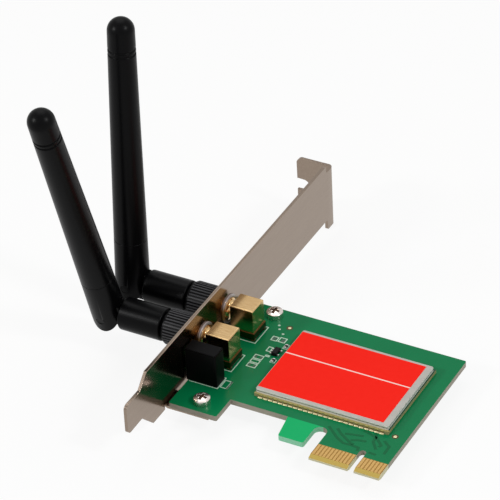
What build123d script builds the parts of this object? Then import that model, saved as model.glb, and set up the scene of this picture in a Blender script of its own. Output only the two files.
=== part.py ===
from build123d import *
import os
from math import cos, radians, sin

# Plug-in wireless card. X runs away from the bracket, Y from the edge contacts to the screw tab and
# Z up on the component side. The origin is the middle of the key notch, at the contact edge.

# Circuit board
board_thickness = 1.6
board_front = 12.45
board_corner = 0.5
board_to_bracket = 0.95
ear_width = 14.4
ear_front = 4.35
hook_front = 4.3
hook_width = 7.4
hook_slant = 1.25
hook_corner = 0.6
slot_width = 3.8
slot_depth = 12.3

# Edge contacts and key notch
key_width = 1.9
key_depth = 8.2
contact_pitch = 1.0
contacts_before_key = 11
contacts_after_key = 7
key_to_contact = 1.5
contact_margin = 0.65
contact_width = 0.7
contact_length = 4.3
contact_thickness = 0.05
bevel_length = 1.3
bevel_depth = 0.47

# Bracket: a folded strip with a screw tab, a tongue and two lugs under the board
key_to_bracket = 57.15
sheet = 0.9
strip_width = 18.42
tab_top = 104.75
tab_reach = 11.43
tab_width = 19.6
tab_drop = 2.3
tab_shoulder = 4.6
tab_corner = 1.8
bend_radius = 0.6
notch_width = 3.8
notch_depth = 4.0
notch_from_tab_edge = 9.0
tongue_reach = 15.27
tongue_width = 9.2
tongue_below_strip_edge = 3.72
tongue_corner = 1.5
tongue_taper_start = 4.0
tongue_taper_length = 3.8
lug_width = 7.0
lug_reach = 12.6
relief_width = 0.8
relief_depth = 1.6
strip_corner = 0.6

# Board screws
screw_from_bracket = 9.0
screw_from_ear_front = 3.95
screw_from_rear_jack = 9.44
screw_to_board_back = 3.5
screw_radius = 1.5
screw_head_radius = 2.3
screw_head_height = 2.2
screw_head_dome = 0.6
screw_tail = 0.6
cross_width = 0.75
cross_length = 2.8
cross_depth = 1.0

# Right-angle coaxial jacks
jack_from_lamps = 9.46
jack_spacing = 13.8
jack_axis_height = 6.3
jack_to_bracket = 2.1
jack_length = 7.05
jack_width = 6.4
jack_height = 7.3
jack_foot_height = 1.9
jack_foot_margin = 0.3
jack_standoff = 0.7
jack_post_side = 1.2
jack_edge = 0.2
jack_leg_radius = 0.5
lead_tail = 1.2
barrel_radius = 3.175
barrel_reach = 7.0
barrel_bore_radius = 2.3
neck_radius = 2.4
neck_bore_radius = 1.7
washer_radius = 4.1
washer_thickness = 0.4
hex_nut_flats = 8.0
hex_nut_thickness = 1.4
jack_pin_radius = 0.46
jack_stem_radius = 1.5
pin_overlap = 1.6

# Lamp housing
lamp_housing_gap = 0.35
lamp_housing_length = 9.4
lamp_housing_width = 4.65
lamp_roof = 1.15
lamps_from_front_screw = 9.3
lamp_housing_edge = 0.35
lamp_housing_top_edge = 0.2
lamp_radius = 1.5
lamp_depth = 6.5
lamp_proud = 0.6
lower_lamp_height = 2.7
lamp_spacing = 5.0
lamp_lead_side = 0.5
lamp_lead_spacing = 2.54

# Radio module
module_from_bracket = 20.35
module_front = 16.6
module_length = 39.7
module_depth = 29.2
module_thickness = 1.0
pad_pitch = 1.5
pad_end_margin = 1.3
pad_width = 0.85
pad_thickness = 0.12
shield_left_margin = 0.1
shield_right_margin = 0.4
shield_front_margin = 0.55
shield_back_margin = 0.4
shield_height = 1.2
shield_wall = 0.2
shield_corner = 0.6
shield_edge = 0.15
seam_below_top = 0.65
seam_height = 0.16
seam_depth = 0.1
dimple_spacing = 9.2
dimple_count = 4
dimple_radius = 0.3
dimple_depth = 0.1
label_thickness = 0.08
label_left_margin = 0.2
label_right_margin = 1.8
label_front_margin = 1.1
label_back_margin = 0.9
radio_chip_side = 7.0
radio_chip_height = 0.85
memory_chip_length = 5.0
memory_chip_width = 4.0
memory_chip_offset = (-11.5, -6.0)
crystal_length = 3.2
crystal_width = 2.5
crystal_offset = (9.5, 6.0)
small_chip_height = 0.7

# Regulator and bare pads beside the module
regulator_from_module = 3.3
regulator_offset_y = 4.3
regulator_length = 2.9
regulator_width = 1.6
regulator_height = 1.1
regulator_edge = 0.18
regulator_pitch = 0.95
regulator_lead_width = 0.4
regulator_lead_reach = 0.6
regulator_lead_height = 0.5
tin_thickness = 0.06
single_pads_from_module = 5.35
single_pads_offset_y = 9.95
single_pad_spacing = 2.6
single_pad_length = 1.0
single_pad_width = 1.2
pair_pads_from_module = 6.8
pair_pads_offset_y = -1.2
pair_pad_spacing_x = 1.6
pair_pad_spacing_y = 3.9
pair_pad_length = 0.7
pair_pad_width = 1.0

# Antennas: ribbed nut, swivelling base with a tongue, hinge pin, forked knuckle and tapered sheath
front_swing_degrees = 17.7
rear_swing_degrees = -2.6
coupling_gap = 0.25
coupling_radius = 5.1
coupling_collar = 0.5
coupling_collar_step = 0.3
rib_count = 36
rib_height = 0.3
rib_width = 0.4
groove_width = 0.9
groove_radius = 3.5
base_radius = 4.65
base_length = 13.15
base_edge = 0.5
base_rear_edge = 0.25
tongue_thickness = 3.6
hinge_pin_radius = 1.1
hinge_pin_recess = 0.15
ferrule_radius = 2.9
ferrule_length = 2.2
flange_length = 0.8
nose_length = 2.0
plug_bore_radius = 1.6
plug_contact_radius = 0.8
plug_depth = 5.0
plug_socket_depth = 2.5
knuckle_radius = 4.85
knuckle_end_radius = 4.4
knuckle_flare = 6.0
knuckle_length = 14.4
spigot_radius = 3.2
spigot_length = 6.0
sheath_bore_radius = 2.6
tip_radius = 3.75
tip_height = 79.65
tip_solid = 9.9
rings_below_tip = (6.65, 5.25)
ring_width = 0.55
ring_depth = 0.3
sleeve_radius = 2.2
sleeve_length = 24.0
rod_radius = 0.8
rod_end_gap = 1.6

# Fits
seat_gap = 0.05
running_gap = 0.1
slide_gap = 0.1
hinge_gap = 0.3
nose_gap = 0.2

# Worked-out places
board_top = board_thickness / 2
contact_first = -(key_to_contact + (contacts_before_key - 1) * contact_pitch)
contact_last = key_to_contact + (contacts_after_key - 1) * contact_pitch
edge_left = contact_first - contact_margin
board_right = contact_last + contact_margin
hook_right = edge_left - slot_width
hook_left = hook_right - hook_width
bracket_inner = -key_to_bracket
bracket_outer = bracket_inner - sheet
board_left = bracket_inner + board_to_bracket
ear_right = board_left + ear_width
strip_low = -board_top - sheet
strip_high = strip_low + strip_width
tab_high = strip_high - tab_drop
tab_low = tab_high - tab_width
tab_end = bracket_inner - tab_reach
tongue_high = strip_high - tongue_below_strip_edge
tongue_low = tongue_high - tongue_width
screw_x = bracket_inner + screw_from_bracket
front_screw_y = ear_front + screw_from_ear_front
lamp_housing_y = front_screw_y + lamps_from_front_screw
front_jack_y = lamp_housing_y + jack_from_lamps
rear_jack_y = front_jack_y + jack_spacing
rear_screw_y = rear_jack_y + screw_from_rear_jack
board_back = rear_screw_y + screw_to_board_back
screw_places = [(screw_x, front_screw_y), (screw_x, rear_screw_y)]
jack_rows = {"front": front_jack_y, "rear": rear_jack_y}
jack_z = board_top + jack_axis_height
jack_left = bracket_inner + jack_to_bracket
jack_x = jack_left + jack_length / 2
jack_foot_low = board_top + jack_standoff
jack_foot_high = jack_foot_low + jack_foot_height
jack_hole_radius = barrel_radius + running_gap
foot_length = jack_length + jack_foot_margin
foot_width = jack_width + 2 * jack_foot_margin
foot_x = jack_x + jack_foot_margin / 2
leg_spacing_x = foot_length - jack_post_side
leg_spacing_y = foot_width - jack_post_side
leg_hole_radius = jack_leg_radius + seat_gap
barrel_end = bracket_outer - barrel_reach
lamp_left = bracket_inner + lamp_housing_gap
lamp_x = lamp_left + lamp_housing_length / 2
lamp_levels = (board_top + lower_lamp_height, board_top + lower_lamp_height + lamp_spacing)
lamp_bore_radius = lamp_radius + seat_gap
lamp_hole_radius = lamp_radius + running_gap
lamp_housing_height = lower_lamp_height + lamp_spacing + lamp_bore_radius + lamp_roof
module_left = bracket_inner + module_from_bracket
module_x = module_left + module_length / 2
module_y = module_front + module_depth / 2
module_top = board_top + module_thickness
pad_count = int((module_length - 2 * pad_end_margin) / pad_pitch) + 1
shield_length = module_length - shield_left_margin - shield_right_margin
shield_depth = module_depth - shield_front_margin - shield_back_margin
shield_x = module_x + (shield_left_margin - shield_right_margin) / 2
shield_y = module_y + (shield_front_margin - shield_back_margin) / 2
shield_top = module_top + shield_height
regulator_x = module_left - regulator_from_module
regulator_y = module_y + regulator_offset_y
single_pads_x = module_left - single_pads_from_module
single_pads_y = module_y + single_pads_offset_y
pair_pads_x = module_left - pair_pads_from_module
pair_pads_y = module_y + pair_pads_offset_y
shoulder_to_pin = knuckle_radius + hinge_gap
tongue_radius = knuckle_end_radius - hinge_gap
slot_above_pin = tongue_radius + hinge_gap
hinge_pin_length = 2 * (knuckle_radius - hinge_pin_recess)
flange_radius = barrel_radius
nose_radius = barrel_bore_radius - nose_gap
sheath_bore_end = tip_height - tip_solid
ring_heights = [tip_height - below for below in rings_below_tip]
coupling_right = bracket_outer - hex_nut_thickness - coupling_gap
pin_x = barrel_end - seat_gap - flange_length - ferrule_length - groove_width - base_length - shoulder_to_pin
swings = {"front": front_swing_degrees, "rear": rear_swing_degrees}
base_end = shoulder_to_pin + base_length
groove_end = base_end + groove_width
ferrule_end = groove_end + ferrule_length
flange_end = ferrule_end + flange_length
nose_end = flange_end + nose_length
slot_gap = tongue_thickness + 2 * slide_gap

os.makedirs("parts", exist_ok=True)


def save(piece, name):
    piece.label = name
    export_step(piece, f"parts/{name}.step")


def corners_at(sketch, places):
    # The sketch's corners nearest to the given places, in the sketch's own coordinates
    return [sketch.vertices().sort_by_distance(place)[0] for place in places]


def sheath_radius(height):
    return knuckle_radius + (tip_radius - knuckle_radius) * height / tip_height


def hinge_plane(side):
    # Plane through the hinge pin's middle: local x along the jack's axis, local y up the antenna
    swing = radians(swings[side])
    return Plane((pin_x, jack_rows[side], jack_z), x_dir=(1, 0, 0), z_dir=(0, -cos(swing), -sin(swing)))


# Circuit board
slot_end = slot_depth - slot_width / 2
slot_x = edge_left - slot_width / 2
key_end = key_depth - key_width / 2
with BuildPart() as circuit_board:
    with BuildSketch(Plane.XY.offset(-board_top)) as outline:
        with BuildLine():
            Polyline(
                (board_left, ear_front),
                (ear_right, ear_front),
                (ear_right, board_front),
                (hook_left - hook_slant, board_front),
                (hook_left, hook_front),
                (hook_right, hook_front),
                (hook_right, slot_end),
                (edge_left, slot_end),
                (edge_left, 0),
                (board_right, 0),
                (board_right, board_back),
                (board_left, board_back),
                close=True,
            )
        make_face()
        fillet(outline.vertices().group_by(Axis.Y)[-1], board_corner)
        fillet(corners_at(outline, [(board_left, ear_front), (ear_right, ear_front)]), board_corner)
        fillet(corners_at(outline, [(hook_left, hook_front), (hook_right, hook_front)]), hook_corner)
        with Locations((slot_x, slot_end)):
            Circle(slot_width / 2, mode=Mode.SUBTRACT)
        with Locations((0, key_end)):
            Circle(key_width / 2, mode=Mode.SUBTRACT)
        with Locations((0, key_end / 2)):
            Rectangle(key_width, key_end, mode=Mode.SUBTRACT)
    extrude(amount=board_thickness)
    with BuildSketch(Plane.YZ.offset(edge_left)) as bevel:
        with BuildLine():
            Polyline((0, board_top), (bevel_length, board_top), (0, board_top - bevel_depth), close=True)
        make_face()
        mirror(about=Plane.XZ)
    extrude(amount=board_right - edge_left, mode=Mode.SUBTRACT)
    with Locations(*[(x, y, board_top) for x, y in screw_places]):
        Hole(screw_radius + running_gap)
    for row_y in jack_rows.values():
        with Locations((foot_x, row_y, board_top)):
            with GridLocations(leg_spacing_x, leg_spacing_y, 2, 2):
                Hole(leg_hole_radius)
        with Locations((jack_x, row_y, board_top)):
            Hole(jack_pin_radius + seat_gap)
    with Locations((lamp_x, lamp_housing_y, board_top)):
        with GridLocations(lamp_lead_spacing, lamp_lead_spacing, 2, 2):
            Hole(lamp_lead_side)
save(circuit_board.part, "circuit_board")

# Edge contacts, one row on each face
contact_xs = [contact_first + i * contact_pitch for i in range(contacts_before_key)]
contact_xs += [key_to_contact + i * contact_pitch for i in range(contacts_after_key)]
contact_y = bevel_length + contact_length / 2
for face, level in (("top", board_top), ("bottom", -board_top - contact_thickness)):
    with BuildPart() as contacts:
        with BuildSketch(Plane.XY.offset(level)):
            with Locations(*[(x, contact_y) for x in contact_xs]):
                Rectangle(contact_width, contact_length)
        extrude(amount=contact_thickness)
    save(contacts.part, f"edge_contacts_{face}")

# Bracket
bend_y = tab_top - sheet - bend_radius
bend_x = bracket_outer - bend_radius
shoulder_y = tab_top - tab_shoulder
taper_end = -tongue_taper_start - tongue_taper_length
low_taper_length = tongue_low - strip_low
relief_end = strip_low + relief_depth
lug_bend_x = bracket_inner + bend_radius
lug_bend_z = -board_top + bend_radius
with BuildPart() as bracket:
    with BuildSketch(Plane.YZ.offset(bracket_outer)) as strip:
        with BuildLine():
            Polyline(
                (-tongue_reach, tongue_low),
                (taper_end, tongue_low),
                (taper_end + low_taper_length, strip_low),
                (shoulder_y, strip_low),
                (shoulder_y, tab_low),
                (bend_y, tab_low),
                (bend_y, tab_high),
                (shoulder_y, tab_high),
                (shoulder_y, strip_high),
                (-tongue_taper_start, strip_high),
                (taper_end, tongue_high),
                (-tongue_reach, tongue_high),
                close=True,
            )
        make_face()
        fillet(strip.vertices().group_by(Axis.X)[0], tongue_corner)
        shoulder_levels = (strip_low, tab_low, tab_high, strip_high)
        fillet(corners_at(strip, [(shoulder_y, level) for level in shoulder_levels]), strip_corner)
        with Locations(*[(y, jack_z) for y in jack_rows.values()]):
            Circle(jack_hole_radius, mode=Mode.SUBTRACT)
        with Locations(*[(lamp_housing_y, z) for z in lamp_levels]):
            Circle(lamp_hole_radius, mode=Mode.SUBTRACT)
        with Locations(*[(y, strip_low + relief_depth / 2) for _, y in screw_places]):
            Rectangle(lug_width + 2 * relief_width, relief_depth, mode=Mode.SUBTRACT)
    extrude(amount=sheet)
    with BuildSketch(Plane.XY.offset(tab_low)):
        with BuildLine():
            CenterArc((bend_x, bend_y), bend_radius + sheet, 0, 90)
            Line((bend_x, bend_y + bend_radius + sheet), (bend_x, bend_y + bend_radius))
            CenterArc((bend_x, bend_y), bend_radius, 0, 90)
            Line((bend_x + bend_radius, bend_y), (bend_x + bend_radius + sheet, bend_y))
        make_face()
    extrude(amount=tab_width)
    with BuildSketch(Plane.XZ.offset(-tab_top)) as tab:
        with Locations(((tab_end + bend_x) / 2, (tab_low + tab_high) / 2)):
            Rectangle(bend_x - tab_end, tab_width)
        fillet(tab.vertices().group_by(Axis.X)[0], tab_corner)
        with Locations((tab_end + (notch_depth - notch_width / 2) / 2, tab_high - notch_from_tab_edge)):
            Rectangle(notch_depth - notch_width / 2, notch_width, mode=Mode.SUBTRACT)
        with Locations((tab_end + notch_depth - notch_width / 2, tab_high - notch_from_tab_edge)):
            Circle(notch_width / 2, mode=Mode.SUBTRACT)
    extrude(amount=sheet)
    for place_x, place_y in screw_places:
        with BuildSketch(Plane.XZ.offset(-(place_y + lug_width / 2))):
            with BuildLine():
                CenterArc((lug_bend_x, lug_bend_z), bend_radius, 180, 90)
                Polyline(
                    (bracket_inner, lug_bend_z),
                    (bracket_inner, relief_end),
                    (bracket_outer, relief_end),
                    (bracket_outer, lug_bend_z),
                )
                CenterArc((lug_bend_x, lug_bend_z), bend_radius + sheet, 180, 90)
                Polyline(
                    (lug_bend_x, strip_low),
                    (bracket_inner + lug_reach, strip_low),
                    (bracket_inner + lug_reach, -board_top),
                    (lug_bend_x, -board_top),
                )
            make_face()
        extrude(amount=lug_width)
    with Locations(*[(x, y, -board_top) for x, y in screw_places]):
        Hole(screw_radius + seat_gap, depth=sheet)
save(bracket.part, "bracket")

# Board screws: domed heads with a cross recess
dome_radius = (screw_head_radius**2 + screw_head_dome**2) / (2 * screw_head_dome)
with BuildPart() as board_screws:
    for place_x, place_y in screw_places:
        with BuildSketch(Plane.XZ.offset(-place_y)):
            with BuildLine():
                Polyline(
                    (place_x, board_top + screw_head_height),
                    (place_x, strip_low - screw_tail),
                    (place_x + screw_radius, strip_low - screw_tail),
                    (place_x + screw_radius, board_top),
                    (place_x + screw_head_radius, board_top),
                    (place_x + screw_head_radius, board_top + screw_head_height - screw_head_dome),
                )
                RadiusArc(
                    (place_x + screw_head_radius, board_top + screw_head_height - screw_head_dome),
                    (place_x, board_top + screw_head_height),
                    -dome_radius,
                )
            make_face()
        revolve(axis=Axis((place_x, place_y, 0), (0, 0, 1)))
    with Locations(*[(x, y, board_top + screw_head_height - cross_depth / 2) for x, y in screw_places]):
        Box(cross_length, cross_width, cross_depth, mode=Mode.SUBTRACT)
        Box(cross_width, cross_length, cross_depth, mode=Mode.SUBTRACT)
save(board_screws.part, "board_screws")

# Coaxial jacks
insulator_radius = barrel_bore_radius - seat_gap
insulator_end = barrel_end + nose_length + 2 * running_gap
bore_end = jack_x + neck_bore_radius
neck_start = bracket_inner + washer_thickness
pin_tip = insulator_end - pin_overlap
stem_length = jack_axis_height - jack_standoff
for side, row_y in jack_rows.items():
    mouth = Plane((barrel_end, row_y, jack_z), x_dir=(0, 1, 0), z_dir=(1, 0, 0))
    insulator_face = Plane((insulator_end, row_y, jack_z), x_dir=(0, 1, 0), z_dir=(1, 0, 0))
    stem_plane = Plane((jack_x, row_y, jack_z), x_dir=(1, 0, 0), z_dir=(0, 0, -1))
    with BuildPart() as jack:
        with BuildSketch(Plane.XY.offset(jack_foot_high)):
            with Locations((jack_x, row_y)):
                Rectangle(jack_length, jack_width)
        extrude(amount=jack_height)
        chamfer(jack.edges().group_by(Axis.Z)[-1], jack_edge)
        with BuildSketch(Plane.XY.offset(jack_foot_low)):
            with Locations((foot_x, row_y)):
                RectangleRounded(foot_length, foot_width, jack_edge)
        extrude(amount=jack_foot_height)
        with BuildSketch(Plane.XY.offset(board_top)):
            with Locations((foot_x, row_y)):
                with GridLocations(leg_spacing_x, leg_spacing_y, 2, 2):
                    RectangleRounded(jack_post_side, jack_post_side, jack_edge)
        extrude(amount=jack_standoff)
        with BuildSketch(mouth):
            Circle(barrel_radius)
        extrude(amount=neck_start - barrel_end)
        with BuildSketch(mouth):
            Circle(neck_radius)
        extrude(amount=jack_left - barrel_end)
        with BuildSketch(Plane.XY.offset(board_top)):
            with Locations((foot_x, row_y)):
                with GridLocations(leg_spacing_x, leg_spacing_y, 2, 2):
                    Circle(jack_leg_radius)
        extrude(amount=-(board_thickness + lead_tail))
        with BuildSketch(mouth):
            Circle(barrel_bore_radius)
        extrude(amount=bracket_inner - barrel_end, mode=Mode.SUBTRACT)
        with BuildSketch(mouth):
            Circle(neck_bore_radius)
        extrude(amount=bore_end - barrel_end, mode=Mode.SUBTRACT)
        with BuildSketch(stem_plane):
            Circle(jack_stem_radius + seat_gap)
        extrude(amount=stem_length, mode=Mode.SUBTRACT)
    save(jack.part, f"{side}_jack_body")

    with BuildPart() as jack_insulator:
        with BuildSketch(insulator_face):
            Circle(insulator_radius)
        extrude(amount=bracket_inner - seat_gap - insulator_end)
        with BuildSketch(insulator_face):
            Circle(neck_bore_radius - seat_gap)
        extrude(amount=bore_end - insulator_end)
        with BuildSketch(stem_plane):
            Circle(jack_stem_radius)
        extrude(amount=stem_length)
        with BuildSketch(insulator_face):
            Circle(jack_pin_radius + seat_gap)
        extrude(amount=jack_x + jack_pin_radius + seat_gap - insulator_end, mode=Mode.SUBTRACT)
        with BuildSketch(stem_plane):
            Circle(jack_pin_radius + seat_gap)
        extrude(amount=stem_length, mode=Mode.SUBTRACT)
    save(jack_insulator.part, f"{side}_jack_insulator")

    with BuildPart() as jack_contact:
        with BuildSketch(Plane((pin_tip, row_y, jack_z), x_dir=(0, 1, 0), z_dir=(1, 0, 0))):
            Circle(jack_pin_radius)
        extrude(amount=jack_x - pin_tip)
        with BuildSketch(stem_plane):
            Circle(jack_pin_radius)
        extrude(amount=jack_axis_height + board_thickness + lead_tail)
        with Locations((jack_x, row_y, jack_z)):
            Sphere(jack_pin_radius)
    save(jack_contact.part, f"{side}_jack_contact")

    with BuildPart() as jack_washer:
        with BuildSketch(Plane((bracket_inner, row_y, jack_z), x_dir=(0, 1, 0), z_dir=(1, 0, 0))):
            Circle(washer_radius)
            Circle(jack_hole_radius, mode=Mode.SUBTRACT)
        extrude(amount=washer_thickness)
    save(jack_washer.part, f"{side}_jack_washer")

    with BuildPart() as jack_nut:
        with BuildSketch(Plane((bracket_outer, row_y, jack_z), x_dir=(0, 1, 0), z_dir=(-1, 0, 0))):
            RegularPolygon(hex_nut_flats / 2, 6, major_radius=False)
            Circle(barrel_radius + seat_gap, mode=Mode.SUBTRACT)
        extrude(amount=hex_nut_thickness)
    save(jack_nut.part, f"{side}_jack_nut")

# Lamp housing with two lamps, one above the other
with BuildPart() as lamp_housing:
    with BuildSketch(Plane.XY.offset(board_top)):
        with Locations((lamp_x, lamp_housing_y)):
            Rectangle(lamp_housing_length, lamp_housing_width)
    extrude(amount=lamp_housing_height)
    fillet(lamp_housing.edges().filter_by(Axis.Z), lamp_housing_edge)
    chamfer(lamp_housing.edges().group_by(Axis.Z)[-1], lamp_housing_top_edge)
    with BuildSketch(Plane.YZ.offset(lamp_left)):
        with Locations(*[(lamp_housing_y, z) for z in lamp_levels]):
            Circle(lamp_bore_radius)
    extrude(amount=lamp_depth, mode=Mode.SUBTRACT)
save(lamp_housing.part, "lamp_housing")

lamp_tip = bracket_outer - lamp_proud
for name, level in zip(("lower_lamp", "upper_lamp"), lamp_levels):
    with BuildPart() as lamp:
        with BuildSketch(Plane.XZ.offset(-lamp_housing_y)):
            with BuildLine():
                Polyline(
                    (lamp_tip, level),
                    (lamp_left + lamp_depth, level),
                    (lamp_left + lamp_depth, level + lamp_radius),
                    (lamp_tip + lamp_radius, level + lamp_radius),
                )
                RadiusArc((lamp_tip + lamp_radius, level + lamp_radius), (lamp_tip, level), -lamp_radius)
            make_face()
        revolve(axis=Axis((0, lamp_housing_y, level), (1, 0, 0)))
    save(lamp.part, name)

with BuildPart() as lamp_leads:
    with BuildSketch(Plane.XY.offset(board_top)):
        with Locations((lamp_x, lamp_housing_y)):
            with GridLocations(lamp_lead_spacing, lamp_lead_spacing, 2, 2):
                Rectangle(lamp_lead_side, lamp_lead_side)
    extrude(amount=-(board_thickness + lead_tail))
save(lamp_leads.part, "lamp_leads")

# Radio module: board, edge pads, shield can and label
with BuildPart() as module_board:
    with BuildSketch(Plane.XY.offset(board_top)):
        with Locations((module_x, module_y)):
            Rectangle(module_length, module_depth)
    extrude(amount=module_thickness)
save(module_board.part, "module_board")

with BuildPart() as module_pads:
    with BuildSketch(Plane.XZ.offset(-module_front)):
        with Locations((module_x, board_top + module_thickness / 2)):
            with GridLocations(pad_pitch, 1, pad_count, 1):
                Rectangle(pad_width, module_thickness)
    extrude(amount=pad_thickness)
save(module_pads.part, "module_pads")

shield_front = shield_y - shield_depth / 2
with BuildPart() as module_shield:
    with BuildSketch(Plane.XY.offset(module_top)):
        with Locations((shield_x, shield_y)):
            RectangleRounded(shield_length, shield_depth, shield_corner)
    extrude(amount=shield_height)
    fillet(module_shield.edges().group_by(Axis.Z)[-1], shield_edge)
    with BuildSketch(Plane.XY.offset(module_top)):
        with Locations((shield_x, shield_y)):
            RectangleRounded(
                shield_length - 2 * shield_wall,
                shield_depth - 2 * shield_wall,
                shield_corner - shield_wall,
            )
    extrude(amount=shield_height - shield_wall, mode=Mode.SUBTRACT)
    with BuildSketch(Plane.XY.offset(shield_top - seam_below_top)):
        with Locations((shield_x, shield_y)):
            RectangleRounded(shield_length, shield_depth, shield_corner)
            RectangleRounded(
                shield_length - 2 * seam_depth,
                shield_depth - 2 * seam_depth,
                shield_corner - seam_depth,
                mode=Mode.SUBTRACT,
            )
    extrude(amount=seam_height, mode=Mode.SUBTRACT)
    with BuildSketch(Plane.XZ.offset(-shield_front)):
        with Locations((shield_x, module_top + shield_height / 2)):
            with GridLocations(dimple_spacing, 1, dimple_count, 1):
                Circle(dimple_radius)
    extrude(amount=-dimple_depth, mode=Mode.SUBTRACT)
save(module_shield.part, "module_shield")

label_length = shield_length - label_left_margin - label_right_margin
label_depth = shield_depth - label_front_margin - label_back_margin
label_x = shield_x + (label_left_margin - label_right_margin) / 2
label_y = shield_y + (label_front_margin - label_back_margin) / 2
with BuildPart() as module_label:
    with BuildSketch(Plane.XY.offset(shield_top)):
        with Locations((label_x, label_y)):
            Rectangle(label_length, label_depth)
    extrude(amount=label_thickness)
save(module_label.part, "module_label")

chip_sizes = {
    "radio_chip": (0, 0, radio_chip_side, radio_chip_side, radio_chip_height),
    "memory_chip": (*memory_chip_offset, memory_chip_length, memory_chip_width, small_chip_height),
    "radio_crystal": (*crystal_offset, crystal_length, crystal_width, small_chip_height),
}
for name, (offset_x, offset_y, length, width, height) in chip_sizes.items():
    with BuildPart() as chip:
        with BuildSketch(Plane.XY.offset(module_top)):
            with Locations((module_x + offset_x, module_y + offset_y)):
                Rectangle(length, width)
        extrude(amount=height)
    save(chip.part, name)

# Regulator chip with its leads, and bare tinned pads
with BuildPart() as regulator_chip:
    with BuildSketch(Plane.XY.offset(board_top + tin_thickness)):
        with Locations((regulator_x, regulator_y)):
            Rectangle(regulator_width, regulator_length)
    extrude(amount=regulator_height)
    chamfer(regulator_chip.edges().group_by(Axis.Z)[-1], regulator_edge)
save(regulator_chip.part, "regulator_chip")

lead_centre = (regulator_width + regulator_lead_reach) / 2
with BuildPart() as regulator_leads:
    for sign, lead_count, pitch in ((-1, 3, regulator_pitch), (1, 2, 2 * regulator_pitch)):
        with BuildSketch(Plane.XY.offset(board_top)):
            with Locations((regulator_x + sign * lead_centre, regulator_y)):
                with GridLocations(1, pitch, 1, lead_count):
                    Rectangle(regulator_lead_reach, regulator_lead_width)
        extrude(amount=regulator_lead_height)
save(regulator_leads.part, "regulator_leads")

with BuildPart() as tinned_pads:
    with BuildSketch(Plane.XY.offset(board_top)):
        with Locations((single_pads_x, single_pads_y)):
            with GridLocations(single_pad_spacing, 1, 2, 1):
                Rectangle(single_pad_length, single_pad_width)
        with Locations((pair_pads_x, pair_pads_y)):
            with GridLocations(pair_pad_spacing_x, pair_pad_spacing_y, 2, 2):
                Rectangle(pair_pad_length, pair_pad_width)
    extrude(amount=tin_thickness)
save(tinned_pads.part, "tinned_pads")

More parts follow.
